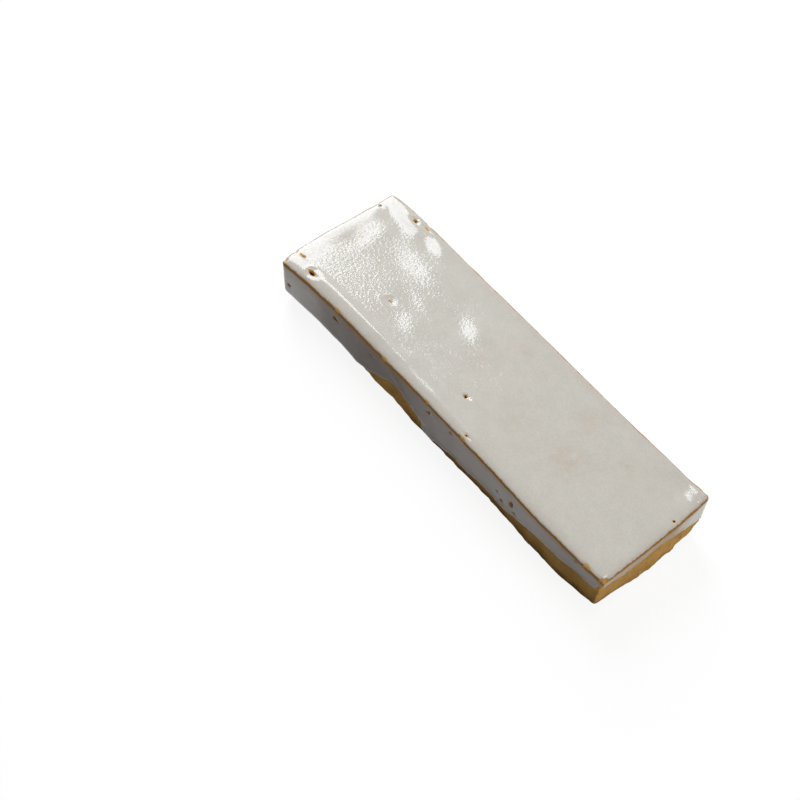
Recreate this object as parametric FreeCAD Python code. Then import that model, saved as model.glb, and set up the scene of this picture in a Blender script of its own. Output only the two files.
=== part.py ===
import FreeCAD, Part
import math
import os

# A hand-cut glazed clay tile, fired as one piece. It lies on its bed with the glazed face up.
# +X runs along its length and +Y across its width. All sizes are in millimetres.

# the tile as it is sold
tile_length = 150.0
tile_width = 46.5
tile_thickness = 20.0

# how far the chiselled foot of the sides reaches up from the bed
foot_height = 6.0

# the coat of glaze on the sides, below which the bare clay stands in by its thickness
glaze_thickness = 0.35

# the glazed face: it swells and dips a little, and rolls over towards its edges
swell_height = 0.12
swell_length = 62.0
ripple_height = 0.05
ripple_length = 27.0
edge_roll_width = 4.5
edge_roll_drop = 0.4
face_grid_step = 8.0

# rounding of the edges: the arris round the face, the four upright corners and the worn edge of the bed
face_arris_radius = 0.7
corner_arris_radius = 1.2
bed_arris_wear = 0.6

# how far a cutting tool reaches past the surface that it cuts
tool_reach = 3.0

# stock above the face outline, which the wavy face trims away
trim_height = 1.5

half_length = tile_length / 2
half_width = tile_width / 2
up = FreeCAD.Vector(0, 0, 1)

# Kiln pits in the glaze: a shallow dish with a small pointed hole at its bottom. Each one is placed by its
# distance from the far or near end and from the front or back side.
# (end, from that end, side, from that side, dish radius, dish depth, hole radius, hole depth)
kiln_pits = (
    ("far", 8.9, "front", 4.3, 2.6, 0.35, 1.0, 1.5),
    ("far", 32.8, "front", 17.2, 3.0, 0.25, 0.4, 0.8),
    ("far", 13.4, "back", 1.5, 1.9, 0.25, 0.8, 1.2),
    ("far", 75.4, "front", 12.0, 1.8, 0.25, 0.6, 0.9),
    ("near", 1.8, "back", 14.4, 0.9, 0.2, 0.6, 0.8),
)

# Chips broken from the arris round the face: a shallow scoop out of the edge.
# (side that it is on, from the far end or the front side, scoop radius, how deep the scoop goes in)
arris_chips = (
    ("front", 26.1, 1.6, 0.5),
    ("front", 69.9, 1.5, 0.5),
    ("front", 85.9, 2.2, 0.8),
    ("front", 142.3, 2.0, 0.9),
    ("near", 1.6, 1.6, 0.8),
    ("back", 18.2, 1.7, 0.6),
    ("back", 146.8, 2.0, 0.5),
    ("far", 2.4, 1.5, 0.5),
    ("far", 5.9, 1.5, 0.6),
)

# Pointed holes in the glaze of the sides, where gas or grit came out.
# (side, from the far end or the front side, height over the bed, hole radius, hole depth)
side_pits = (
    ("front", 2.5, 9.8, 0.7, 1.0),
    ("front", 24.7, 15.3, 0.8, 1.0),
    ("front", 110.5, 12.1, 1.1, 1.2),
    ("front", 106.3, 8.0, 0.7, 1.0),
    ("near", 37.2, 6.3, 0.9, 0.9),
)

# Each outline has four sides, named for where they lie: the front and back sides are the long ones.
# A side is a list of (share of the way along it, how far it stands inside the nominal rectangle).
# The first and last entries are its corners. Front and back run from far to near, ends from front to back.
face_outline = {
    "front": ((0.0, -0.35), (0.17, 1.35), (0.45, 1.1), (0.66, 0.35), (0.82, -0.25), (1.0, 0.3)),
    "near": ((0.0, -0.3), (0.5, -0.4), (1.0, 0.3)),
    "back": ((0.0, -1.2), (0.12, -2.15), (0.55, -1.5), (1.0, -0.9)),
    "far": ((0.0, -1.1), (0.16, -2.1), (0.3, -2.1), (0.7, -1.3), (1.0, -0.8)),
}
waist_outline = {
    "front": ((0.0, 0.2), (0.15, 1.0), (0.32, 0.3), (0.46, 1.6), (0.66, 1.5), (0.88, 0.7), (1.0, 1.9)),
    "near": ((0.0, 1.2), (0.5, -0.35), (0.8, -0.7), (1.0, -0.2)),
    "back": ((0.0, 0.9), (0.3, 0.2), (0.6, 0.8), (0.85, 0.0), (1.0, -0.3)),
    "far": ((0.0, 0.2), (0.35, -0.8), (0.7, 0.1), (1.0, 0.5)),
}
bed_outline = {
    "front": ((0.0, 4.0), (0.17, 4.8), (0.33, 3.5), (0.44, 2.0), (0.66, 1.9), (0.88, 0.7), (1.0, 2.3)),
    "near": ((0.0, 1.2), (0.26, -0.2), (0.5, -0.9), (0.75, -0.6), (1.0, 0.1)),
    "back": ((0.0, 3.2), (0.25, 2.2), (0.5, 3.0), (0.8, 1.6), (1.0, 1.0)),
    "far": ((0.0, 1.0), (0.4, 0.3), (0.75, 1.4), (1.0, 2.2)),
}

# How far down the glaze ran on each side before it set: (share of the way along, height over the bed).
# Below this line the clay is bare. Where the height is under 0 the glaze reaches the bed.
drip_line = {
    "front": ((0.0, -2.0), (0.19, -2.0), (0.27, 5.5), (0.37, 12.0), (0.44, 6.5), (0.475, 1.8), (0.57, 4.0),
              (0.72, 4.6), (0.83, 9.0), (0.93, 11.2), (1.0, 11.6)),
    "near": ((0.0, 11.6), (0.12, 13.4), (0.37, 13.2), (0.55, 14.6), (0.73, 12.6), (0.9, 9.8), (1.0, 8.6)),
    "back": ((0.0, 5.0), (0.3, 4.5), (0.65, 8.5), (1.0, 8.6)),
    "far": ((0.0, -2.0), (0.22, 2.5), (0.5, 7.0), (0.78, 3.5), (1.0, 5.0)),
}


def side_point(side, share, inset, height):
    """A point of an outline's side, drawn in from the nominal rectangle."""
    along_length = -half_length + share * tile_length
    along_width = -half_width + share * tile_width
    if side == "front":
        return FreeCAD.Vector(along_length, -half_width + inset, height)
    if side == "back":
        return FreeCAD.Vector(along_length, half_width - inset, height)
    if side == "near":
        return FreeCAD.Vector(half_length - inset, along_width, height)
    return FreeCAD.Vector(-half_length + inset, along_width, height)


def corner_points(height_at, inset_of):
    """The four corners, each from the ends of the two sides that meet there."""
    corners = {}
    for end, end_share in (("far", 0), ("near", -1)):
        for side, side_share in (("front", 0), ("back", -1)):
            height = height_at(side, end_share)
            x = side_point(end, 0, inset_of(end, side_share), height).x
            y = side_point(side, 0, inset_of(side, end_share), height).y
            corners[side, end] = FreeCAD.Vector(x, y, height)
    return corners


def smooth_curve(points, **ends):
    curve = Part.BSplineCurve()
    curve.interpolate(Points=points, **ends)
    return curve.toShape()


def round_the_tile(corners):
    """The four sides in order round the tile: name, start corner, end corner, direction of its list."""
    return (
        ("front", corners["front", "far"], corners["front", "near"], 1),
        ("near", corners["front", "near"], corners["back", "near"], 1),
        ("back", corners["back", "near"], corners["back", "far"], -1),
        ("far", corners["back", "far"], corners["front", "far"], -1),
    )


def outline_wire(outline, height, drawn_in):
    """The closed outline of one level, drawn in on all sides by a distance. Its sides run smoothly into
    round corners, so that the edges of the finished tile can be rounded all the way round."""
    corners = corner_points(lambda side, i: height, lambda side, i: outline[side][i][1] + drawn_in)
    sides = round_the_tile(corners)
    ways = [(end - start).normalize() for side, start, end, direction in sides]
    edges = []
    for (side, start, end, direction), way, next_way in zip(sides, ways, ways[1:] + ways[:1]):
        inner = [side_point(side, share, inset + drawn_in, height) for share, inset in outline[side][1:-1]]
        points = [start + way * corner_arris_radius] + inner[::direction] + [end - way * corner_arris_radius]
        edges.append(smooth_curve(points, InitialTangent=way, FinalTangent=way))
        angle = way.getAngle(next_way)
        reach = corner_arris_radius * math.tan(angle / 4) / (2 * math.sin(angle / 2))
        corner = Part.Arc(points[-1], end + (next_way - way) * reach, end + next_way * corner_arris_radius)
        edges.append(corner.toShape())
    return Part.Wire(edges)


def drip_wire(inset):
    """The drip line, drawn round the tile at a distance inside its nominal sides."""
    corners = corner_points(lambda side, i: drip_line[side][i][1], lambda side, i: inset)
    edges = []
    for side, start, end, direction in round_the_tile(corners):
        inner = [side_point(side, share, inset, height) for share, height in drip_line[side][1:-1]]
        edges.append(smooth_curve([start] + inner[::direction] + [end]))
    return Part.Wire(edges)


def face_height(x, y):
    """Height of the glazed face over the bed."""
    turn = 2 * math.pi / ripple_length
    swell = swell_height * math.sin(2 * math.pi * (x + 0.4 * y) / swell_length + 0.8)
    ripple = ripple_height * math.sin(turn * x) * math.cos(turn * y)
    from_edge = min(half_length - abs(x), half_width - abs(y))
    roll = max(1 - from_edge / edge_roll_width, 0.0)
    return tile_thickness + swell + ripple - edge_roll_drop * roll ** 2


def stations(half_span):
    """Places across the face: even steps inside, and four close together where the edge rolls over. The
    last one lies well outside the widest outline."""
    inner_span = half_span - edge_roll_width
    count = max(2, round(2 * inner_span / face_grid_step))
    inside = [-inner_span + 2 * inner_span * i / count for i in range(count + 1)]
    rim = [half_span + edge_roll_width * step for step in (-0.5, 0.0, 0.5, 1.0)]
    return [-place for place in reversed(rim)] + inside + rim


def stock_above_face():
    """Everything above the wavy face, which is taken off the body."""
    rows, columns = stations(half_length), stations(half_width)
    grid = [[FreeCAD.Vector(x, y, face_height(x, y)) for y in columns] for x in rows]
    surface = Part.BSplineSurface()
    surface.interpolate(grid)
    return surface.toShape().extrude(FreeCAD.Vector(0, 0, tile_thickness))


def tapered_block(drawn_in):
    """A block from bed to face that narrows towards the bed, with a worn edge round the bed."""
    levels = [
        outline_wire(bed_outline, 0.0, drawn_in + bed_arris_wear),
        outline_wire(bed_outline, bed_arris_wear, drawn_in),
        outline_wire(waist_outline, foot_height, drawn_in),
        outline_wire(face_outline, tile_thickness + trim_height, drawn_in),
    ]
    return Part.makeLoft(levels, True, True)


def below_drip_line():
    """The space round the tile below the drip line, where the glaze didn't reach."""
    sheet = Part.makeLoft([drip_wire(2 * tool_reach), drip_wire(-2 * tool_reach)], False, True)
    return sheet.extrude(FreeCAD.Vector(0, 0, -2 * tile_thickness))


def round_face_arris(block):
    """Softens the sharp edge between the trimmed face and the four sides."""
    face = max(block.Faces, key=lambda each: each.BoundBox.ZMin)
    return block.makeFillet(face_arris_radius, face.OuterWire.Edges)


def make_body():
    """The clay, and over it the coat of glaze, which ends along the drip line."""
    stock = stock_above_face()
    coat = round_face_arris(tapered_block(0.0).cut(stock).Solids[0])
    stock.translate(-up * face_arris_radius)
    clay = tapered_block(glaze_thickness).cut(stock)
    return coat.cut(below_drip_line()).fuse(clay).Solids[0]


def inset_at(outline, side, share):
    """How far an outline stands inside the nominal rectangle, part of the way along one of its sides."""
    line = outline[side]
    for (start, start_inset), (end, end_inset) in zip(line, line[1:]):
        if start <= share <= end:
            return start_inset + (end_inset - start_inset) * (share - start) / (end - start)
    return line[-1][1]


def side_share(side, along):
    """Share of the way along a side for a distance from the far end or the front side."""
    return along / (tile_length if side in ("front", "back") else tile_width)


def hole_tool(mouth, out, radius, depth):
    """A cone with its point at the hole's bottom, which widens past the surface."""
    flare = radius / depth
    return Part.makeCone(0, radius + flare * tool_reach, depth + tool_reach, mouth - out * depth, out)


def outward(side):
    """Direction out of the tile through one of its sides."""
    return {
        "front": FreeCAD.Vector(0, -1, 0),
        "back": FreeCAD.Vector(0, 1, 0),
        "far": FreeCAD.Vector(-1, 0, 0),
        "near": FreeCAD.Vector(1, 0, 0),
    }[side]


def kiln_pit_tools():
    """For each pit a large ball that leaves the dish, and a cone for the hole at its bottom."""
    tools = []
    for end, from_end, side, from_side, dish_radius, dish_depth, hole_radius, hole_depth in kiln_pits:
        x = outward(end).x * (half_length - from_end)
        y = outward(side).y * (half_width - from_side)
        mouth = FreeCAD.Vector(x, y, face_height(x, y))
        ball_radius = (dish_radius ** 2 + dish_depth ** 2) / (2 * dish_depth)
        tools.append(Part.makeSphere(ball_radius, mouth + up * (ball_radius - dish_depth)))
        tools.append(hole_tool(mouth, up, hole_radius, hole_depth))
    return tools


def arris_chip_tools():
    """Balls that bite into the face arris by the depth of each chip."""
    tools = []
    for side, along, scoop_radius, depth in arris_chips:
        share = side_share(side, along)
        edge = side_point(side, share, inset_at(face_outline, side, share), 0)
        edge.z = face_height(edge.x, edge.y)
        lean = outward(side) + up
        centre = edge + lean.normalize() * (scoop_radius - depth)
        tools.append(Part.makeSphere(scoop_radius, centre))
    return tools


def side_pit_tools():
    """Pointed holes square to the sides."""
    tools = []
    for side, along, height, hole_radius, hole_depth in side_pits:
        share = side_share(side, along)
        rise = (height - foot_height) / (tile_thickness + trim_height - foot_height)
        low, high = (inset_at(outline, side, share) for outline in (waist_outline, face_outline))
        mouth = side_point(side, share, low + (high - low) * rise, height)
        tools.append(hole_tool(mouth, outward(side), hole_radius, hole_depth))
    return tools


def make_tile():
    tile = make_body()
    for tool in kiln_pit_tools() + arris_chip_tools() + side_pit_tools():
        tile = tile.cut(tool).Solids[0]
    # the origin goes to the middle of the tile's outer box, on the bed
    box = tile.optimalBoundingBox(False, False)
    tile.translate(FreeCAD.Vector(-box.Center.x, -box.Center.y, -box.ZMin))
    return tile.Solids[0]


parts = {"zellige_tile": make_tile()}
os.makedirs("parts", exist_ok=True)
for name, shape in parts.items():
    shape.exportStep(f"parts/{name}.step")
    size = shape.optimalBoundingBox(False, False)
    print(f"{name}: {size.XLength:.2f} x {size.YLength:.2f} x {size.ZLength:.2f} mm, {shape.Volume:.0f} mm3")
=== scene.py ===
import math

import bmesh
import bpy
import numpy as np
from mathutils import Matrix, Vector, noise


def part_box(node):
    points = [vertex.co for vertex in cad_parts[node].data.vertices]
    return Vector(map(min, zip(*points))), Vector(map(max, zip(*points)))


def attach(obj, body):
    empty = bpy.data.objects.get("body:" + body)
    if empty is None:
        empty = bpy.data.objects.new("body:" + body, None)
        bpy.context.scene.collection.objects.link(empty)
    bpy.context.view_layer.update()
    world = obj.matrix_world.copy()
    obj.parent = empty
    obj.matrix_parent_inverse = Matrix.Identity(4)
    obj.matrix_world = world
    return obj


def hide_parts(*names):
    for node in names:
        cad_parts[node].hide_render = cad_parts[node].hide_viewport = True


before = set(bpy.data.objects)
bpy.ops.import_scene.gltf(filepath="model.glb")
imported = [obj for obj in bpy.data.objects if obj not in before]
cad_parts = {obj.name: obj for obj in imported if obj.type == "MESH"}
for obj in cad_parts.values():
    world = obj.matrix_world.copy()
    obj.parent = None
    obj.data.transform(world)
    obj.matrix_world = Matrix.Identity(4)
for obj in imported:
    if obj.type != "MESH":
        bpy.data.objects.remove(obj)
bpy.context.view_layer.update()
bpy.ops.object.select_all(action="DESELECT")
print("frame loaded")

mm = 0.001

# One hand-cut glazed tile. Its sizes are in mm round the middle of its bed, with the glazed face up: x runs
# from the far end to the near end, y from the front side to the back side. A share of the way along a side
# runs from far to near on the long sides and from front to back on the ends.
tile = {
    "length": 150.0, "width": 46.5, "thickness": 20.0,
    "rounding": (1.0, 1.0, 0.7),             # how far the edges are rounded, along x, y and z
    "footHeight": 6.0, "footCurve": 1.7,     # below this height the sides curve under to the bed
    "faceFade": 1.0,                         # the swells of the face start to fade out this far below it

    # the mesh: spacing in the middle of a side and beside its edges, and how wide that zone is
    "middleCell": 0.55, "edgeCell": 0.22, "edgeZone": (2.4, 2.4, 1.6),
    # round a hole the mesh is halved out to these shares of its size, and once more out to a share of that
    "finer": {"hole": 1.1, "dimple": 0.5, "sideHole": 1.3, "sideMargin": 0.4, "secondShare": 0.7},
    "bedShare": 0.62,                        # how much of the mesh is left once the flat bed is thinned

    # outline of each side at three heights: (share of the way along, how far inside the nominal rectangle)
    "outline": {
        "face": {
            "front": ((0, -0.35), (0.08, 0.7), (0.17, 1.35), (0.3, 1.3), (0.45, 1.1), (0.66, 0.35),
                      (0.82, -0.25), (0.93, -0.1), (1, 0.3)),
            "near": ((0, -0.2), (0.5, -0.4), (1, 0.3)),
            "back": ((0, -0.9), (0.04, -1.7), (0.1, -2.05), (0.2, -1.95), (0.4, -1.65), (0.6, -1.25),
                     (0.8, -0.9), (1, -0.9)),
            "far": ((0, -1.1), (0.16, -1.95), (0.3, -2.0), (0.7, -1.2), (1, -0.7)),
        },
        "waist": {
            "front": ((0, 0.2), (0.15, 1.0), (0.32, 0.3), (0.46, 1.6), (0.66, 1.5), (0.88, 0.7), (1, 1.9)),
            "near": ((0, 1.2), (0.5, -0.35), (0.8, -0.7), (1, -0.2)),
            "back": ((0, 0.9), (0.3, 0.2), (0.6, 0.8), (0.85, 0), (1, -0.3)),
            "far": ((0, 0.2), (0.35, -0.8), (0.7, 0.1), (1, 0.5)),
        },
        "bed": {
            "front": ((0, 4.0), (0.17, 4.8), (0.33, 3.4), (0.44, 1.9), (0.66, 1.8), (0.88, 0.5), (1, 2.3)),
            "near": ((0, 1.2), (0.26, -0.2), (0.5, -0.9), (0.75, -0.6), (1, 0.1)),
            "back": ((0, 3.2), (0.25, 2.2), (0.5, 3.0), (0.8, 1.6), (1, 1.0)),
            "far": ((0, 1.0), (0.4, 0.3), (0.75, 1.4), (1, 2.2)),
        },
    },

    # where the glaze ran to before it set, with bare clay below: (share of the way along, height)
    "dripLine": {
        "front": ((0, -2), (0.19, -2), (0.253, 4.5), (0.267, 5.5), (0.293, 7), (0.32, 8.7), (0.342, 10.6),
                  (0.363, 11.9), (0.385, 11.9), (0.399, 10.7), (0.425, 8.2), (0.441, 7), (0.455, 5),
                  (0.464, 2.1), (0.477, 1.2), (0.503, 2.2), (0.533, 3.4), (0.563, 4.1), (0.587, 3.6),
                  (0.611, 3.8), (0.647, 5), (0.68, 5), (0.707, 4.2), (0.733, 4.8), (0.76, 6), (0.8, 7.6),
                  (0.833, 9), (0.88, 9.6), (0.92, 10.9), (0.947, 11.2), (0.967, 10.7), (0.982, 11.2),
                  (0.989, 13), (0.993, 17), (1, 19)),
        "near": ((0, 19), (0.012, 16), (0.03, 13.6), (0.11, 13.4), (0.2, 12.9), (0.29, 13.2), (0.46, 13.8),
                 (0.556, 14.9), (0.64, 13.6), (0.715, 12.8), (0.8, 11.4), (0.9, 9.8), (1, 8.6)),
        "back": ((0, 5), (0.15, 8.5), (0.34, 4), (0.55, 9.5), (0.76, 6), (0.9, 9), (1, 8.6)),
        "far": ((0, -2), (0.22, 2.5), (0.5, 7), (0.78, 3.5), (1, 5)),
    },
    # the coat of glaze: its edge runs from bare clay to full thickness between two distances over the drip
    # line, its lip is (how proud, how far over the line, half width), and the line is a little ragged
    "coat": {"thickness": 0.35, "edge": (-0.15, 0.35), "lip": (0.14, 0.7, 0.45),
             "ragHeight": 0.35, "ragSize": 1.6},
    # how thin the glaze ran down each side, from 0 (thick and white) to 1 (the clay shows through)
    # on the long sides the thin glaze is also darkened, a painted shade
    "thinGlaze": {
        "front": ((0, 0), (0.07, 0.15), (0.15, 0.8), (0.3, 1), (0.45, 0.9), (0.6, 0.75), (0.85, 0.75),
                  (1, 0.9)),
        "near": ((0, 1), (0.65, 0.95), (0.78, 0.4), (0.88, 0.05), (1, 0)),
        "back": ((0, 0.5), (1, 0.5)),
        "far": ((0, 0.3), (1, 0.3)),
    },
    "thinStarts": (0.2, 1.4),                # it starts between these distances below the arris
    "wornBack": 0.3,                         # along the back the glaze wore thin this much further in
    "arrisWander": ((0.3, 2.2), (0.15, 0.8)),             # (height, size) of the wander of the worn line

    # unevenness that the chisel left in the sides, drawn out up and down:
    # (height, size, share of z that counts)
    "wobble": ((0.16, 5.5, 0.3), (0.07, 1.7, 0.5)),
    "hollows": {"depth": 0.5, "middle": 0.35, "size": 3.4, "facing": (0.3, 0.8)},    # in the bare clay only
    "clayGrain": {"lumps": (3.0, 0.5), "grit": (0.9, 0.16)},                         # (size, height)
    # the ridge down the front side where the glaze folded: at each height, where it is along x
    "fold": {"heights": (9.5, 12.2, 14.2, 16.8, 18.5), "places": (-13.7, -15.4, -17.6, -20.1, -21.0),
             "halfWidth": 0.8, "proud": 0.3, "starts": (9, 10.5), "stops": (16.5, 18.5)},

    # the glazed face: long swells, short ripples and a roll towards each edge
    "face": {
        "swell": (0.08, 62.0, 0.4, 0.8),                  # height, length, slant, phase
        "ripple": (0.03, 27.0),                           # height, length
        "dish": 0.3,                                      # how much lower the middle is than the long edges
        "unevenness": ((0.035, 11.0), (0.012, 4.2)),      # (height, size) of the bumps
        "rollCurve": 2.6, "rollBlend": 3,
        "roll": {                                         # (share of the way along, width, drop)
            "front": ((0, 5.6, 0.9), (0.1, 6.0, 1.2), (0.3, 6.0, 1.2), (0.45, 6.3, 0.95), (1, 6.2, 0.9)),
            "back": ((0, 3.0, 0.3), (1, 3.0, 0.25)),
            "near": ((0, 4.2, 0.45), (1, 4.2, 0.3)),
            "far": ((0, 4.2, 0.5), (0.25, 3.6, 0.5), (0.5, 2.6, 0.45), (0.9, 3.6, 0.6), (1, 4.0, 0.6)),
        },
        # a fat bead of glaze along the front side; it rises and fades between shares of the way along
        "bead": {"in": 4.9, "halfWidth": 1.4, "height": 0.2, "rises": (0.05, 0.09), "fades": (0.34, 0.4)},
        # places that lean a little: (x, y, half length, half width, turn in degrees, lean along x, along y)
        "leans": ((-47.9, 9.7, 10.5, 5.2, 17, 0.055, 0.055), (-66.4, 5.4, 6.5, 2.6, 71, 0.055, 0.05),
                  (-32.8, -7.8, 5.5, 4.4, 7, 0.06, 0.06), (-36.0, 0.5, 6.0, 2.6, 0, 0.045, 0.045),
                  (-18.2, 6.9, 6.5, 4.2, -6, 0.085, 0.085), (-22.9, -15.4, 4.0, 2.0, 0, 0.06, 0.05),
                  (-68.2, 20.6, 6.0, 4.0, -10, 0.12, 0.12), (-60.5, 19.0, 5.0, 4.0, 15, 0.1, 0.12),
                  (-51.0, 20.4, 6.5, 3.4, 2, 0.09, 0.1), (69.9, 20.8, 5.8, 5.2, 0, 0.2, 0.2)),
    },
    # faint tea-coloured stains in the glaze of the face: (x, y, radius, strength)
    "stains": ((36.9, -2.0, 6.0, 0.45), (32.6, 13.5, 4.5, 0.35), (50.5, 10.3, 1.4, 0.4),
               (-0.4, 14.1, 3.0, 0.3), (15.6, -6.1, 7.0, 0.2), (-6.9, 1.7, 6.0, 0.2)),

    # pits in the glaze of the face, some of them a dimple without a hole:
    # (x, y, dimple radius, dimple depth, hole radius, hole depth, stretch, turn in degrees)
    "kilnPits": (
        (-66.2, -18.9, 2.6, 0.35, 0.75, 1.1, 2.2, 0),
        (-63.4, -17.3, 1.3, 0.12, 0.0, 0.0, 1.0, 0),
        (-42.1, -6.0, 2.5, 0.3, 0.56, 1.0, 1.2, 20),
        (0.3, -11.2, 1.5, 0.2, 0.6, 0.9, 1.3, 60),
        (-61.7, 22.2, 2.0, 0.24, 0.72, 1.0, 1.3, 10),
        (-74.1, 17.5, 0.8, 0.1, 0.45, 0.6, 1.2, 90),
        (-56.8, 23.2, 1.2, 0.12, 0.5, 0.7, 1.3, 0),
        (50.5, 10.3, 2.0, 0.2, 0.0, 0.0, 1.0, 0),
        (11.2, -20.6, 1.0, 0.12, 0.35, 0.3, 1.4, 60),
        (73.4, 9.2, 0.8, 0.06, 0.45, 0.2, 1.3, 40),
        (-74.0, -17.0, 0.8, 0.1, 0.5, 0.3, 1.4, 90),
        (-73.0, -16.6, 0.8, 0.08, 0.45, 0.3, 1.2, 0),
        (-10.4, 5.5, 0.5, 0.03, 0.2, 0.1, 1.0, 0),
        (-9.9, 2.5, 0.4, 0.03, 0.16, 0.1, 1.0, 0),
    ),
    # holes in the sides:
    # (side, distance from the far end or the front side, height, half width, half height, depth)
    "sidePits": (
        ("front", 2.5, 9.8, 0.7, 0.8, 0.9), ("front", 24.7, 15.3, 1.0, 0.8, 0.9),
        ("front", 42.6, 15.6, 0.5, 0.5, 0.3), ("front", 70.8, 15.5, 0.7, 0.9, 0.7),
        ("front", 81.2, 16.9, 0.6, 0.7, 0.5), ("front", 104.0, 11.1, 0.5, 0.6, 0.3),
        ("front", 106.3, 8.0, 0.6, 0.9, 0.8), ("front", 110.5, 12.1, 0.8, 1.8, 1.1),
        ("front", 112.0, 8.6, 0.5, 0.6, 0.5), ("front", 125.8, 3.6, 1.6, 0.5, 0.6),
        ("front", 138.7, 18.1, 0.4, 0.5, 0.4), ("front", 145.5, 9.4, 0.5, 0.5, 0.4),
        ("near", 10.4, 7.0, 0.6, 0.5, 0.4), ("near", 37.2, 6.3, 1.4, 1.4, 0.8),
        ("near", 43.6, 3.3, 0.9, 0.8, 0.9), ("back", 30.0, 13.0, 0.8, 0.9, 0.8),
        ("back", 71.0, 15.0, 0.6, 0.8, 0.7), ("back", 118.0, 11.5, 0.9, 0.8, 0.8),
        ("far", 14.0, 12.5, 0.7, 0.8, 0.7), ("far", 33.0, 9.0, 0.8, 0.7, 0.6),
    ),
    # shape of the pits: the bowl's width as a share of the dimple's radius, the raised rim round it (share of
    # its depth, half width), how steep the walls of the holes are, and how many radii out the clay shows
    "pitShape": {"bowl": 0.6, "rim": (0.35, 0.5), "wall": 3, "sideWall": 2.5,
                 "clayReach": 1.6, "sideClayReach": 1.5},

    # chips broken out of the face arris: (side, share of the way along, half length, how deep)
    "arrisChips": (
        ("front", 0.174, 0.6, 0.2), ("front", 0.328, 0.6, 0.2), ("front", 0.466, 0.7, 0.25),
        ("front", 0.573, 1.0, 0.35), ("front", 0.949, 1.3, 0.5), ("front", 0.992, 1.2, 0.5),
        ("near", 0.03, 1.0, 0.45), ("near", 0.985, 0.9, 0.25), ("back", 0.121, 1.0, 0.3),
        ("back", 0.985, 0.8, 0.2), ("far", 0.03, 0.9, 0.4), ("far", 0.13, 1.0, 0.4), ("far", 0.87, 0.7, 0.25),
    ),
    # a chip reaches this many depths and this much more from the arris, and takes a share of its depth
    # sideways and down
    "chipShape": {"reach": 1.6, "more": 0.5, "curve": 0.7, "share": 0.7},

    "seeds": {"face": 0, "wobble": 3, "dripLine": 5, "hollows": 6, "arris": 8},
}


def smoothLine(points, where):
    # a smooth curve through (place, value) points that never overshoots them
    places, values = np.array(points, float).T
    slopes = np.diff(values) / np.diff(places)
    tangents = np.concatenate(([slopes[0]], np.zeros(len(slopes) - 1), [slopes[-1]]))
    turnsBack = slopes[1:] * slopes[:-1] <= 0
    safeSum = np.where(turnsBack, 1.0, slopes[1:] + slopes[:-1])
    tangents[1:-1] = np.where(turnsBack, 0.0, 2 * slopes[1:] * slopes[:-1] / safeSum)
    cell = np.clip(np.searchsorted(places, where) - 1, 0, len(slopes) - 1)
    width = places[cell + 1] - places[cell]
    t = np.clip((where - places[cell]) / width, 0, 1)
    rise = values[cell + 1] - values[cell]
    bend = tangents[cell] * width * t * (1 - t) ** 2 - tangents[cell + 1] * width * t ** 2 * (1 - t)
    return values[cell] + rise * (3 * t ** 2 - 2 * t ** 3) + bend


def easeIn(value, start, end):
    # 0 before start, 1 after end, smooth between them
    t = np.clip((value - start) / (end - start), 0, 1)
    return t * t * (3 - 2 * t)


def unevenness(points, size, seed):
    # soft noise whose bumps are about size mm across
    shift = Vector((seed * 17.3, seed * 9.1, seed * 5.7))
    return np.array([noise.noise(Vector(point) / size + shift) for point in points])


def gradedPlaces(count, span, zone, edgeCell):
    # even steps in the middle and short ones beside both ends
    edgeCount = round(zone / edgeCell)
    steps, places = (0, edgeCount, count - edgeCount, count), (0, zone, span - zone, span)
    return np.interp(np.arange(count + 1), steps, places)


def cutAcross(axis, cuts):
    # divides every edge that runs along one axis
    bm = bmesh.from_edit_mesh(bpy.context.object.data)
    for edge in bm.edges:
        way = edge.verts[1].co - edge.verts[0].co
        edge.select_set(abs(way[axis]) > 0.9 * way.length)
    bmesh.update_edit_mesh(bpy.context.object.data)
    bpy.ops.mesh.subdivide(number_cuts=cuts)


def divideNear(spots):
    # halves the mesh round each (place, radius), so that small holes come out round
    bm = bmesh.from_edit_mesh(bpy.context.object.data)
    for item in bm.faces:
        middle = item.calc_center_median()
        item.select_set(any((middle - place).length < radius for place, radius in spots))
    bmesh.update_edit_mesh(bpy.context.object.data)
    bpy.ops.mesh.subdivide(number_cuts=1)


def readPoints(mesh):
    flat = np.zeros(len(mesh.vertices) * 3)
    mesh.vertices.foreach_get("co", flat)
    return flat.reshape(-1, 3)


def writePoints(mesh, points):
    mesh.vertices.foreach_set("co", np.asarray(points, np.float32).ravel())
    mesh.update()


def sidePlace(side, along, height):
    # a point on the nominal rectangle's side
    halfLength, halfWidth = tile["length"] / 2, tile["width"] / 2
    return Vector({
        "front": (along - halfLength, -halfWidth, height),
        "back": (along - halfLength, halfWidth, height),
        "near": (halfLength, along - halfWidth, height),
        "far": (-halfLength, along - halfWidth, height),
    }[side])


def sideFacing(side):
    # the axis that a side faces along, and which way
    return 1 if side in ("front", "back") else 0, 1 if side in ("back", "near") else -1


def holeSpots():
    # where the holes are, and how far round each one the mesh has to be finer
    finer = tile["finer"]
    spots = []
    for x, y, dimpleRadius, dimpleDepth, holeRadius, holeDepth, stretch, turn in tile["kilnPits"]:
        if holeRadius:
            radius = finer["hole"] * holeRadius * stretch + finer["dimple"] * dimpleRadius
            spots.append((Vector((x, y, tile["thickness"])), radius))
    for side, along, height, halfWide, halfHigh, depth in tile["sidePits"]:
        radius = finer["sideHole"] * max(halfWide, halfHigh) + finer["sideMargin"]
        spots.append((sidePlace(side, along, height), radius))
    return spots


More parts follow.
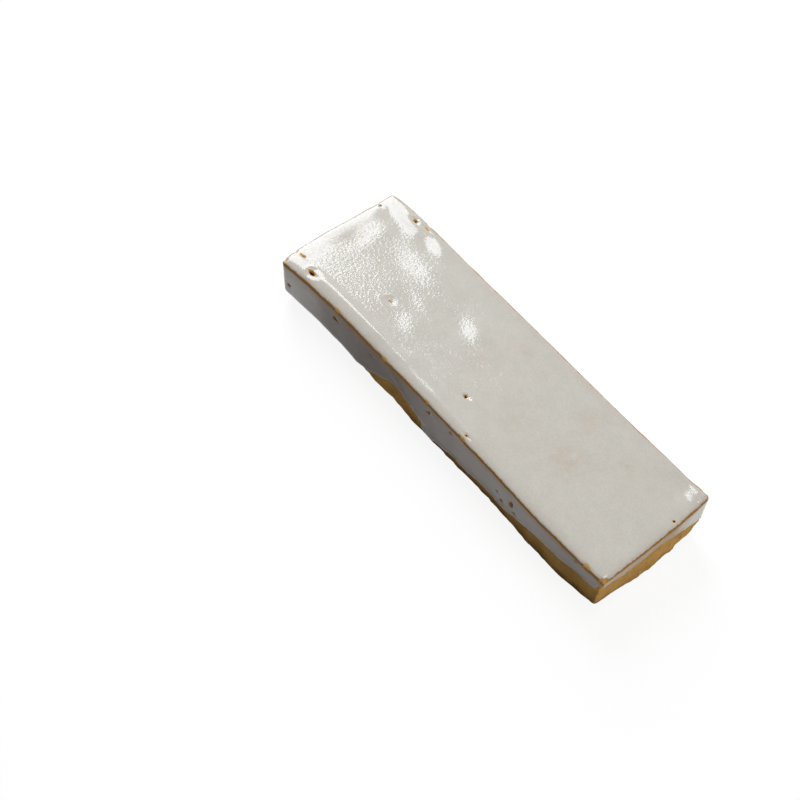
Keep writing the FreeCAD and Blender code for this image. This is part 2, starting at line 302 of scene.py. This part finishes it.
def addBlank():
    # the cut blank: a block with its mesh drawn together beside the edges, and finer round each hole
    size = np.array((tile["length"], tile["width"], tile["thickness"]))
    bpy.ops.mesh.primitive_cube_add(size=1, location=(0, 0, 0))
    blank = bpy.context.object
    blank.name = "glazedTile"
    bpy.ops.object.mode_set(mode="EDIT")
    bpy.ops.mesh.select_mode(type="EDGE")
    places = []
    for axis in range(3):
        zone = tile["edgeZone"][axis]
        middle = round((size[axis] - 2 * zone) / tile["middleCell"])
        count = middle + 2 * round(zone / tile["edgeCell"])
        cutAcross(axis, count - 1)
        places.append(gradedPlaces(count, size[axis], zone, tile["edgeCell"]))
    bpy.ops.object.mode_set(mode="OBJECT")
    points = readPoints(blank.data)
    for axis in range(3):
        step = np.rint((points[:, axis] + 0.5) * (len(places[axis]) - 1)).astype(int)
        points[:, axis] = places[axis][step] - size[axis] / 2
    points[:, 2] += size[2] / 2
    writePoints(blank.data, points)

    bpy.ops.object.mode_set(mode="EDIT")
    bpy.ops.mesh.select_mode(type="FACE")
    spots = holeSpots()
    divideNear(spots)
    divideNear([(place, tile["finer"]["secondShare"] * radius) for place, radius in spots])
    bpy.ops.object.mode_set(mode="OBJECT")
    return blank


def roundBlock(points):
    # rounds the block's edges, and gives the direction each point faces
    halfLength, halfWidth, top = tile["length"] / 2, tile["width"] / 2, tile["thickness"]
    reach = np.array(tile["rounding"])
    low = np.array((-halfLength, -halfWidth, 0)) + reach
    high = np.array((halfLength, halfWidth, top)) - reach
    core = np.clip(points, low, high)
    out = (points - core) / reach
    out /= np.linalg.norm(out, axis=1)[:, None]
    return core + reach * out, out


def insetAt(side, share, height):
    # how far the side stands in at each height: straight from face to waist, curving under to the bed
    outline = tile["outline"]
    faceIn, waistIn, bedIn = (smoothLine(outline[level][side], share) for level in ("face", "waist", "bed"))
    foot = tile["footHeight"]
    above = np.clip((height - foot) / (tile["thickness"] - foot), 0, 1)
    below = np.clip((foot - height) / foot, 0, 1) ** tile["footCurve"]
    return waistIn + (faceIn - waistIn) * above + (bedIn - waistIn) * below


def overDripLine(side, share, height, sideLength):
    # distance above one side's drip line, square to the line
    line = tile["dripLine"][side]
    step = 0.3      # mm each way along the side, to find the line's slope
    ahead, behind = smoothLine(line, share + step / sideLength), smoothLine(line, share - step / sideLength)
    slope = (ahead - behind) / (2 * step)
    return (height - smoothLine(line, share)) / np.sqrt(1 + slope ** 2)


def overAnyLine(points, out, shareX, shareY):
    # distance above the drip line all round: the sides' lines blend at the corners, and the bed is bare
    coat, z = tile["coat"], points[:, 2]
    sideways = np.hypot(out[:, 0], out[:, 1])
    alongWeight = np.where(sideways > 0.001, out[:, 1] ** 2 / np.maximum(sideways, 0.001) ** 2, 0.5)
    front, back = (overDripLine(side, shareX, z, tile["length"]) for side in ("front", "back"))
    near, far = (overDripLine(side, shareY, z, tile["width"]) for side in ("near", "far"))
    overLong, overEnd = np.where(out[:, 1] < 0, front, back), np.where(out[:, 0] > 0, near, far)
    overLine = alongWeight * overLong + (1 - alongWeight) * overEnd
    overLine += coat["ragHeight"] * unevenness(points, coat["ragSize"], tile["seeds"]["dripLine"])
    onBed, wellBelow = out[:, 2] < -0.6, -3.0
    return np.where(onBed, wellBelow, overLine)


def coatStep(points, out, overLine, bare):
    # how far the sides stand in: the coat ends in a fat lip, and the chiselled clay below it is uneven
    x, z = points[:, 0], points[:, 2]
    coat, hollows, fold, seeds = (tile[name] for name in ("coat", "hollows", "fold", "seeds"))
    wobble = sum(height * unevenness(points * (1, 1, upright), size, seed)
                 for seed, (height, size, upright) in enumerate(tile["wobble"], seeds["wobble"]))
    proud, place, width = coat["lip"]
    lip = proud * np.exp(-((overLine - place) / width) ** 2)
    stepIn = coat["thickness"] * bare - lip + wobble
    sunk = hollows["middle"] - unevenness(points, hollows["size"], seeds["hollows"])
    sideways = np.hypot(out[:, 0], out[:, 1])
    stepIn = stepIn + bare * hollows["depth"] * sunk * easeIn(sideways, *hollows["facing"])

    ridge = np.interp(z, fold["heights"], fold["places"])
    onRidge = np.exp(-((x - ridge) / fold["halfWidth"]) ** 2) * easeIn(z, *fold["starts"])
    onRidge = onRidge * (1 - easeIn(z, *fold["stops"])) * (out[:, 1] < -0.5)
    return stepIn - fold["proud"] * onRidge


def turned(x, y, degrees):
    angle = math.radians(degrees)
    return x * math.cos(angle) + y * math.sin(angle), y * math.cos(angle) - x * math.sin(angle)


def rollDrop(side, share, fromEdge):
    # how far the face has rolled down at a distance from one edge
    line = tile["face"]["roll"][side]
    width = smoothLine([(place, wide) for place, wide, drop in line], share)
    drop = smoothLine([(place, drop) for place, wide, drop in line], share)
    return drop * np.clip(1 - fromEdge / width, 0, 1) ** tile["face"]["rollCurve"]


def faceLift(x, y, points):
    # height of the face over its nominal plane
    face, outline = tile["face"], tile["outline"]["face"]
    height, length, slant, phase = face["swell"]
    lift = height * np.sin(2 * np.pi * (x + slant * y) / length + phase)
    lift = lift - face["dish"] * np.clip(1 - (2 * y / tile["width"]) ** 2, 0, 1)
    height, length = face["ripple"]
    lift += height * np.sin(2 * np.pi * x / length) * np.cos(2 * np.pi * y / length)
    for seed, (height, size) in enumerate(face["unevenness"], tile["seeds"]["face"]):
        lift += height * unevenness(points * (1, 1, 0), size, seed)
    for leanX, leanY, halfLong, halfWide, turn, slopeX, slopeY in face["leans"]:
        along, across = turned(x - leanX, y - leanY, turn)
        away = (along / halfLong) ** 2 + (across / halfWide) ** 2
        lift += (slopeX * (x - leanX) + slopeY * (y - leanY)) * np.exp(-away)

    halfLength, halfWidth = tile["length"] / 2, tile["width"] / 2
    alongX, alongY = (x + halfLength) / tile["length"], (y + halfWidth) / tile["width"]
    fromFront = y + halfWidth - smoothLine(outline["front"], alongX)
    bead = face["bead"]
    beadHeight = bead["height"] * easeIn(alongX, *bead["rises"]) * (1 - easeIn(alongX, *bead["fades"]))
    lift += beadHeight * np.exp(-((fromFront - bead["in"]) / bead["halfWidth"]) ** 2)
    rolls = (rollDrop("front", alongX, fromFront),
             rollDrop("back", alongX, halfWidth - y - smoothLine(outline["back"], alongX)),
             rollDrop("near", alongY, halfLength - x - smoothLine(outline["near"], alongY)),
             rollDrop("far", alongY, x + halfLength - smoothLine(outline["far"], alongY)))
    blend = face["rollBlend"]
    return lift - sum(roll ** blend for roll in rolls) ** (1 / blend)   # at a corner the deeper roll wins


def pressPits(sculpted, points, out):
    # dimples with a hole in the middle, pressed into the face, and holes in the sides; returns how deep into
    # a hole each point is
    shape = tile["pitShape"]
    rimShare, rimWidth = shape["rim"]
    onFace = out[:, 2] > 0.5
    inHole = np.zeros(len(points))
    for x, y, dimpleRadius, dimpleDepth, holeRadius, holeDepth, stretch, turn in tile["kilnPits"]:
        alongHole, acrossHole = turned(sculpted[:, 0] - x, sculpted[:, 1] - y, turn)
        away = np.hypot(alongHole, acrossHole)
        bowl = np.exp(-(away / (shape["bowl"] * dimpleRadius)) ** 2)
        rim = rimShare * np.exp(-((away - dimpleRadius) / rimWidth) ** 2)
        sculpted[:, 2] -= np.where(onFace, dimpleDepth * (bowl - rim), 0)
        if holeRadius:
            inside = np.hypot(alongHole / stretch, acrossHole) / holeRadius
            hole = np.clip(1 - inside ** shape["wall"], 0, 1)
            sculpted[:, 2] -= np.where(onFace, holeDepth * hole, 0)
            inHole = np.maximum(inHole, np.where(onFace, np.maximum(shape["clayReach"] - inside, 0), 0))
    for side, along, height, halfWide, halfHigh, depth in tile["sidePits"]:
        place = sidePlace(side, along, height)
        axis, sign = sideFacing(side)
        onSide = out[:, axis] * sign > 0.5
        alongSide = sculpted[:, 1 - axis] - place[1 - axis]
        inside = np.hypot(alongSide / halfWide, (points[:, 2] - height) / halfHigh)
        hole = np.where(onSide, np.clip(1 - inside ** shape["sideWall"], 0, 1), 0)
        sculpted[:, axis] -= depth * hole * sign
        inHole = np.maximum(inHole, np.where(onSide, np.maximum(shape["sideClayReach"] - inside, 0), 0))
    return inHole


def breakChips(sculpted, points):
    # scoops out of the arris round the face; returns where the glaze is broken away
    shape = tile["chipShape"]
    broken = np.zeros(len(points))
    for side, share, halfLong, depth in tile["arrisChips"]:
        length = tile["length"] if side in ("front", "back") else tile["width"]
        place = np.array(sidePlace(side, share * length, tile["thickness"]))
        axis, sign = sideFacing(side)
        alongSide = (points[:, 1 - axis] - place[1 - axis]) / halfLong
        fromEdge = np.hypot(points[:, axis] - place[axis], points[:, 2] - place[2])
        fromEdge = fromEdge / (shape["reach"] * depth + shape["more"])
        scoop = np.clip(1 - (alongSide ** 2 + fromEdge ** 2), 0, 1) ** shape["curve"]
        cut = shape["share"] * depth * scoop
        sculpted[:, 2] -= cut
        sculpted[:, axis] -= cut * sign
        broken = np.maximum(broken, scoop)
    return broken


def arrisDistance(points):
    # distance over the surface from the worn edge round the face: positive on the face, negative below it
    halfLength, halfWidth, top = tile["length"] / 2, tile["width"] / 2, tile["thickness"]
    fromBack = halfWidth - tile["wornBack"] - points[:, 1]
    inside = np.minimum.reduce((halfLength - np.abs(points[:, 0]), halfWidth + points[:, 1], fromBack))
    return inside - (top - points[:, 2])


def thinGlazeAt(out, shareX, shareY):
    # how thin the glaze ran on the side that each point is on
    thin = tile["thinGlaze"]
    onEnd = np.where(out[:, 0] > 0, smoothLine(thin["near"], shareY), smoothLine(thin["far"], shareY))
    onLong = np.where(out[:, 1] > 0, smoothLine(thin["back"], shareX), smoothLine(thin["front"], shareX))
    return np.where(out[:, 0] ** 2 > out[:, 1] ** 2, onEnd, onLong)


def stainAt(points, out):
    # how strongly the glaze of the face is stained
    stained = np.zeros(len(points))
    for x, y, radius, strength in tile["stains"]:
        away = (points[:, 0] - x) ** 2 + (points[:, 1] - y) ** 2
        stained += strength * np.exp(-away / radius ** 2)
    return stained * (out[:, 2] > 0.5)


def addMask(piece, name, values):
    mask = piece.data.attributes.new(name, "FLOAT", "POINT")
    mask.data.foreach_set("value", np.asarray(values, np.float32))


def addGroup(piece, name, weights):
    # ten steps of weight are enough for the modifiers
    group = piece.vertex_groups.new(name=name)
    steps = np.rint(weights * 10).astype(int)
    for step in range(1, 11):
        group.add(np.flatnonzero(steps == step).tolist(), step / 10, "REPLACE")


def sculptTile(blank):
    points, out = roundBlock(readPoints(blank.data))
    x, y, z = points.T
    shareX = np.clip((x + tile["length"] / 2) / tile["length"], 0, 1)
    shareY = np.clip((y + tile["width"] / 2) / tile["width"], 0, 1)

    # draw the sides in to their outlines, and the clay in under the coat of glaze
    front, back = insetAt("front", shareX, z), insetAt("back", shareX, z)
    near, far = insetAt("near", shareY, z), insetAt("far", shareY, z)
    pulledX = x + far * (1 - shareX) - near * shareX
    pulledY = y + front * (1 - shareY) - back * shareY
    overLine = overAnyLine(points, out, shareX, shareY)
    bare = 1 - easeIn(overLine, *tile["coat"]["edge"])
    stepIn = coatStep(points, out, overLine, bare)
    pulledX -= stepIn * out[:, 0]
    pulledY -= stepIn * out[:, 1]

    # raise and roll the face, fading out down the sides
    fade = easeIn(z, tile["footHeight"], tile["thickness"] - tile["faceFade"])
    lifted = z + faceLift(pulledX, pulledY, points) * fade
    sculpted = np.stack((pulledX, pulledY, lifted), axis=1)

    arrisGap = arrisDistance(points)
    wander = sum(height * unevenness(points, size, seed)
                 for seed, (height, size) in enumerate(tile["arrisWander"], tile["seeds"]["arris"]))
    pitDepth = pressPits(sculpted, points, out)
    chipDepth = breakChips(sculpted, points)
    writePoints(blank.data, sculpted)

    # what the material reads
    addMask(blank, "overDripLine", overLine)
    addMask(blank, "arrisGap", arrisGap + wander)
    addMask(blank, "pitDepth", pitDepth)
    addMask(blank, "chipDepth", chipDepth)
    addMask(blank, "thinGlaze", thinGlazeAt(out, shareX, shareY) * easeIn(-arrisGap, *tile["thinStarts"]))
    addMask(blank, "stain", stainAt(points, out))
    addGroup(blank, "bareClay", np.clip(bare, 0, 1))
    addGroup(blank, "bed", (out[:, 2] < -0.99).astype(float))


def applyModifier(piece, kind, name, settings):
    modifier = piece.modifiers.new(name, kind)
    for key, value in settings.items():
        setattr(modifier, key, value)
    bpy.context.view_layer.objects.active = piece
    bpy.ops.object.modifier_apply(modifier=name)


def roughenClay(piece):
    for name, (size, height) in tile["clayGrain"].items():
        grain = bpy.data.textures.new(name, "CLOUDS")
        grain.noise_scale = size
        grain.noise_depth = 2
        applyModifier(piece, "DISPLACE", name, {
            "texture": grain, "texture_coords": "LOCAL", "strength": height, "mid_level": 0.5,
            "vertex_group": "bareClay"})


def makeTile():
    piece = addBlank()
    print("blank cut:", len(piece.data.polygons), "faces")
    sculptTile(piece)
    print("tile sculpted")
    roughenClay(piece)
    # the bed is flat and out of sight, so it keeps few faces
    applyModifier(piece, "DECIMATE", "thinBed", {
        "decimate_type": "COLLAPSE", "ratio": tile["bedShare"], "vertex_group": "bed",
        "vertex_group_factor": 10.0})
    bpy.ops.object.shade_smooth()

    # settle it in the CAD box, bed on the floor, in metres
    low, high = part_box("zellige_tile")
    points = readPoints(piece.data)
    middle = (points.min(0) + points.max(0)) / 2
    moveX, moveY = (low.x + high.x) / 2 / mm - middle[0], (low.y + high.y) / 2 / mm - middle[1]
    moveZ = low.z / mm - points[:, 2].min()
    shift = np.array((moveX, moveY, moveZ))
    writePoints(piece.data, (points + shift) * mm)
    print("tile finished:", sum(len(item.vertices) - 2 for item in piece.data.polygons), "triangles")
    return piece, Vector(shift) * mm


def linear(hexColour):
    # sRGB hex to a linear colour
    parts = [int(hexColour[i:i + 2], 16) / 255 for i in (1, 3, 5)]
    return [*(part / 12.92 if part <= 0.04045 else ((part + 0.055) / 1.055) ** 2.4 for part in parts), 1.0]


def addNode(tree, kind, settings=None, inputs=None):
    # adds one node; an input is a value, a hex colour, or the [node, output] that it comes from
    node = tree.nodes.new(kind)
    for key, value in (settings or {}).items():
        setattr(node, key, value)
    for key, value in (inputs or {}).items():
        if isinstance(value, list):
            tree.links.new(value[0].outputs[value[1]], node.inputs[key])
        else:
            node.inputs[key].default_value = linear(value) if isinstance(value, str) else value
    return node


# The material of the tile, with sizes in mm.
glazedClay = {
    "whiteGlaze": "#D0CBC0", "greyGlaze": "#C7C2B6", "pinkCloud": "#C8BBAC", "teaStain": "#C0A688",
    "thinGlaze": "#A08058", "arrisGlaze": "#A67630", "sideGlazeAndShade": "#877B76", "endGlaze": "#B89A68",
    "clay": "#E6B468", "darkClay": "#C09048", "footClayAndShade": "#5C3A18", "pitShadeColour": "#2E1C0C",
    # patches of noise: (size, detail, value where a patch starts, value where it is full)
    "mottle": (5.0, 3.0, 0.35, 0.65), "grain": (0.8, 1.0, 0.35, 0.65), "cloud": (26.0, 1.0, 0.5, 0.8),
    "stainPatch": (3.0, 3.0, 0.25, 0.7), "chipPatch": (0.7, 2.0, 0.2, 0.55),
    "clayTone": (6.0, 3.0, 0.3, 0.7), "speck": (0.8, 2.0, 0.6, 0.7),
    # how much of each one is mixed in
    "mottleShare": 0.45, "grainShare": 0.55, "cloudShare": 0.2, "clayToneShare": 0.6,
    # the arris: distances from it, positive on the face and negative down the sides
    "thinEdge": (4.0, 0.4), "thinEdgeShare": 0.1,             # the glaze gets thinner from here to here
    "arrisLine": (0.95, 0.45), "arrisRun": (-1.3, -0.3),      # the brown line starts and stops between these
    "underArris": (-4.0, -0.6), "underArrisTop": (0.6, 0.0), "underArrisShare": 0.5,     # faint brown below
    "rag": (0.9, 2.0), "ragWidth": 0.9,                       # (size, detail) of its ragged sides
    "endStarts": (73.5, 75.0),                                # along x, where a long side turns into an end
    "footDarkens": (4.5, 0.0), "footShare": 0.7, "endFootLess": 0.5,    # dark foot, part painted shade
    "bareEdge": (0.12, -0.12), "chipEdge": (0.12, 0.3),       # where the clay starts to show
    "pitClay": (0.35, 0.6), "pitShadeDepths": (0.7, 1.05),
    # gloss
    "slipRoughness": 0.6, "clayRoughness": 0.85, "underGloss": 0.15, "refraction": 1.5,
    "coatRoughness": 0.12, "thinCoatLoss": 0.6, "arrisCoatLoss": 0.85,
    # the orange peel of the coat: (size, detail), and less of it towards the rim
    "peel": (0.9, 1.2), "peelSwirl": 0.4, "peelHeight": 0.08, "smoothRim": (5.2, 8.5), "rimPeel": 0.18,
    "grit": (0.35, 3.0, 0.6), "gritHeight": 0.05,             # of the bare clay: (size, detail, roughness)
}


def makeGlazedClay():
    # Hand-dipped tin glaze over ochre terracotta. The thick glaze is milky, under a glassy coat with a fine
    # orange peel that breaks a soft light up into sparkle. It thins to honey brown on the arris, and below
    # the drip line the bare clay is dull and gritty.
    material = bpy.data.materials.new("tinGlazeOnTerracotta")
    material.use_nodes = True
    tree = material.node_tree
    tree.nodes.clear()
    look = glazedClay
    place = [addNode(tree, "ShaderNodeTexCoord"), "Object"]
    masks = {name: [addNode(tree, "ShaderNodeAttribute", {"attribute_name": name}), "Fac"]
             for name in ("overDripLine", "arrisGap", "pitDepth", "chipDepth", "thinGlaze", "stain")}

    def pattern(size, detail, rough=0.5, swirl=0.0):
        # noise whose grains are about size mm across
        return [addNode(tree, "ShaderNodeTexNoise", inputs={
            "Vector": place, "Scale": 1 / (size * mm), "Detail": detail, "Roughness": rough,
            "Distortion": swirl}), 0]

    def between(value, start, end):
        # 0 at start and 1 at end
        return [addNode(tree, "ShaderNodeMapRange", {"interpolation_type": "SMOOTHSTEP"}, {
            "Value": value, "From Min": start, "From Max": end}), "Result"]

    def patches(name):
        size, detail, start, end = look[name]
        return between(pattern(size, detail), start, end)

    def maths(operation, first, second=0.0, third=0.0):
        return [addNode(tree, "ShaderNodeMath", {"operation": operation}, {
            0: first, 1: second, 2: third}), "Value"]

    def mixed(factor, first, second):
        return [addNode(tree, "ShaderNodeMix", {"data_type": "RGBA"}, {0: factor, 6: first, 7: second}), 2]

    # the thick white glaze, mottled grey, with a pink cloud here and there and a few tea stains
    mottle = maths("MULTIPLY", patches("mottle"), look["mottleShare"])
    grain = maths("MULTIPLY", patches("grain"), look["grainShare"])
    cloud = maths("MULTIPLY", patches("cloud"), look["cloudShare"])
    glaze = mixed(maths("ADD", mottle, grain), look["whiteGlaze"], look["greyGlaze"])
    glaze = mixed(cloud, glaze, look["pinkCloud"])
    glaze = mixed(maths("MULTIPLY", masks["stain"], patches("stainPatch")), glaze, look["teaStain"])

    # thin glaze down the sides: mauve-grey with a painted shade along the length, clay-tinted on the ends
    where = addNode(tree, "ShaderNodeSeparateXYZ", inputs={0: place})
    onEnds = between(maths("ABSOLUTE", [where, "X"]), *(reach * mm for reach in look["endStarts"]))
    glaze = mixed(masks["thinGlaze"], glaze, mixed(onEnds, look["sideGlazeAndShade"], look["endGlaze"]))

    # the brown line: glaze too thin on the arris to hide the clay, ragged along both sides
    thinning = maths("MULTIPLY", between(masks["arrisGap"], *look["thinEdge"]), look["thinEdgeShare"])
    glaze = mixed(thinning, glaze, look["thinGlaze"])
    ragged = maths("MULTIPLY_ADD", pattern(*look["rag"]), look["ragWidth"], masks["arrisGap"])
    underArris = maths("MULTIPLY", between(ragged, *look["underArris"]),
                       between(ragged, *look["underArrisTop"]))
    glaze = mixed(maths("MULTIPLY", underArris, look["underArrisShare"]), glaze, look["arrisGlaze"])
    onArris = maths("MULTIPLY", between(ragged, *look["arrisLine"]), between(ragged, *look["arrisRun"]))
    glaze = mixed(onArris, glaze, look["arrisGlaze"])

    # the bare clay, with dark specks and a dark foot that is partly a painted shade
    clayTone = maths("MULTIPLY", patches("clayTone"), look["clayToneShare"])
    clay = mixed(patches("speck"), mixed(clayTone, look["clay"], look["darkClay"]), look["darkClay"])
    footShare = maths("SUBTRACT", look["footShare"], maths("MULTIPLY", onEnds, look["endFootLess"]))
    footDarkens = between([where, "Z"], *(height * mm for height in look["footDarkens"]))
    clay = mixed(maths("MULTIPLY", footDarkens, footShare), clay, look["footClayAndShade"])

    # the clay shows below the drip line, in the chips and in the pits, which are painted dark inside as shade
    broken = maths("MULTIPLY", masks["chipDepth"], patches("chipPatch"))
    bare = between(masks["overDripLine"], *look["bareEdge"])
    bare = maths("MAXIMUM", bare, between(broken, *look["chipEdge"]))
    bare = maths("MAXIMUM", bare, between(masks["pitDepth"], *look["pitClay"]))
    colour = mixed(bare, glaze, clay)
    colour = mixed(between(masks["pitDepth"], *look["pitShadeDepths"]), colour, look["pitShadeColour"])

    # the clay has no glassy coat, and where the glaze wore thin the coat did too
    thinLoss = maths("MULTIPLY", masks["thinGlaze"], look["thinCoatLoss"])
    arrisLoss = maths("MULTIPLY", onArris, look["arrisCoatLoss"])
    uncoated = maths("MAXIMUM", bare, maths("MAXIMUM", thinLoss, arrisLoss))
    coat = maths("SUBTRACT", 1.0, uncoated)
    rimPeel = look["rimPeel"]
    peelShare = maths("MULTIPLY_ADD", between(masks["arrisGap"], *look["smoothRim"]), 1 - rimPeel, rimPeel)
    peel = maths("MULTIPLY", pattern(*look["peel"], swirl=look["peelSwirl"]), peelShare)
    peelBump = addNode(tree, "ShaderNodeBump", inputs={
        "Height": peel, "Strength": 1.0, "Distance": look["peelHeight"] * mm})
    grit = maths("MULTIPLY", pattern(*look["grit"]), bare)
    gritBump = addNode(tree, "ShaderNodeBump", inputs={
        "Height": grit, "Strength": 1.0, "Distance": look["gritHeight"] * mm})
    roughness = addNode(tree, "ShaderNodeMapRange", inputs={
        "Value": bare, "To Min": look["slipRoughness"], "To Max": look["clayRoughness"]})
    shader = addNode(tree, "ShaderNodeBsdfPrincipled", inputs={
        "Base Color": colour, "Roughness": [roughness, "Result"], "IOR": look["refraction"],
        "Specular IOR Level": look["underGloss"], "Normal": [gritBump, "Normal"],
        "Coat Weight": coat, "Coat Roughness": look["coatRoughness"], "Coat IOR": look["refraction"],
        "Coat Normal": [peelBump, "Normal"]})
    addNode(tree, "ShaderNodeOutputMaterial", inputs={"Surface": [shader, "BSDF"]})
    return material


# The studio: a white floor and sky, a tall soft panel beyond the far end, a soft lamp overhead and a small
# fill. Directions are (azimuth from +x, elevation) in degrees, distances and sizes in metres.
studio = {
    "floorSize": 6, "floorGrey": "#9A9A98",
    "whiteInView": 0.6, "whiteLevel": 1.49,       # how much of the floor's look shines white, and how bright
    "skyLight": 0.11,
    "panel": {"from": (152.5, 38), "distance": 1.2, "size": (0.52, 1.06), "power": 14.2, "turn": -15,
              "colour": "#F6F9FF"},
    "lamp": {"from": (60, 84), "distance": 1.0, "size": (0.24, 0.24), "power": 1.8, "turn": 0,
             "colour": "#FFFFFF"},
    "fill": {"from": (8, 24), "distance": 1.2, "size": (0.5, 0.4), "power": 4.1, "turn": 0,
             "colour": "#FFFFFF"},
}


def whiteInView(tree):
    # 1 for what is seen directly, in a reflection or through glass
    path = addNode(tree, "ShaderNodeLightPath")
    seen = addNode(tree, "ShaderNodeMath", {"operation": "ADD"}, {
        0: [path, "Is Camera Ray"], 1: [path, "Is Glossy Ray"]})
    return [addNode(tree, "ShaderNodeMath", {"operation": "ADD", "use_clamp": True}, {
        0: [seen, "Value"], 1: [path, "Is Transmission Ray"]}), "Value"]


def makeFloor():
    bpy.ops.mesh.primitive_plane_add(size=studio["floorSize"], location=(0, 0, 0))
    floor = bpy.context.object
    floor.name = "studioFloor"
    # matt paper, all but white in view, with the tile's soft shadow on it
    material = bpy.data.materials.new("whitePaperSweep")
    material.use_nodes = True
    tree = material.node_tree
    tree.nodes.clear()
    share = addNode(tree, "ShaderNodeMath", {"operation": "MULTIPLY"}, {
        0: whiteInView(tree), 1: studio["whiteInView"]})
    paper = addNode(tree, "ShaderNodeBsdfDiffuse", inputs={"Color": studio["floorGrey"]})
    white = addNode(tree, "ShaderNodeEmission", inputs={"Strength": studio["whiteLevel"]})
    surface = addNode(tree, "ShaderNodeMixShader", inputs={
        0: [share, "Value"], 1: [paper, "BSDF"], 2: [white, "Emission"]})
    addNode(tree, "ShaderNodeOutputMaterial", inputs={"Surface": [surface, "Shader"]})
    floor.data.materials.append(material)


def makeSky():
    world = bpy.data.worlds.new("whiteStudio")
    bpy.context.scene.world = world
    world.use_nodes = True
    tree = world.node_tree
    tree.nodes.clear()
    dim = addNode(tree, "ShaderNodeBackground", inputs={"Color": "#FFFFFF", "Strength": studio["skyLight"]})
    white = addNode(tree, "ShaderNodeBackground", inputs={"Color": "#FFFFFF", "Strength": 1.0})
    surface = addNode(tree, "ShaderNodeMixShader", inputs={
        0: whiteInView(tree), 1: [dim, "Background"], 2: [white, "Background"]})
    addNode(tree, "ShaderNodeOutputWorld", inputs={"Surface": [surface, "Shader"]})


def addLamp(name, settings):
    azimuth, elevation = (math.radians(angle) for angle in settings["from"])
    place = settings["distance"] * Vector((
        math.cos(azimuth) * math.cos(elevation), math.sin(azimuth) * math.cos(elevation),
        math.sin(elevation)))
    bpy.ops.object.light_add(type="AREA", location=place)
    lamp = bpy.context.object
    lamp.name = name
    spin = Matrix.Rotation(math.radians(settings["turn"]), 3, "Z")
    lamp.rotation_euler = (place.to_track_quat("Z", "Y").to_matrix() @ spin).to_euler()
    lamp.data.shape = "RECTANGLE"
    lamp.data.size, lamp.data.size_y = settings["size"]
    lamp.data.energy = settings["power"]
    lamp.data.color = linear(settings["colour"])[:3]


# The camera, from the photograph's own perspective: where it stands in mm and the three ways it faces.
view = {
    "eye": (190.38, -264.07, 491.01), "focalLength": 81.0, "filmWidth": 36.0, "nearClip": 10.0,
    "right": (0.6542, 0.7503, 0.0951), "down": (0.6665, -0.5125, -0.5413),
    "ahead": (-0.3574, 0.4175, -0.8354),
}


def addCamera(shift):
    eye = Vector(view["eye"]) * mm + shift
    right, down, ahead = (Vector(view[key]).normalized() for key in ("right", "down", "ahead"))
    turn = Matrix((right, -down, -ahead)).transposed()
    bpy.ops.object.camera_add(location=eye, rotation=turn.to_euler())
    camera = bpy.context.object
    camera.name = "catalogueCamera"
    camera.data.lens = view["focalLength"]
    camera.data.sensor_width = view["filmWidth"]
    camera.data.clip_start = view["nearClip"] * mm
    bpy.context.scene.camera = camera


glazedTile, tileShift = makeTile()
glazedTile.data.materials.clear()
glazedTile.data.materials.append(makeGlazedClay())
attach(glazedTile, "root")
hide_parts("zellige_tile")
print("tile glazed")

makeFloor()
makeSky()
addLamp("softPanel", studio["panel"])
addLamp("topLamp", studio["lamp"])
addLamp("endFill", studio["fill"])
addCamera(tileShift)
bpy.context.scene.view_settings.view_transform = "Standard"
print("studio lit, camera set")
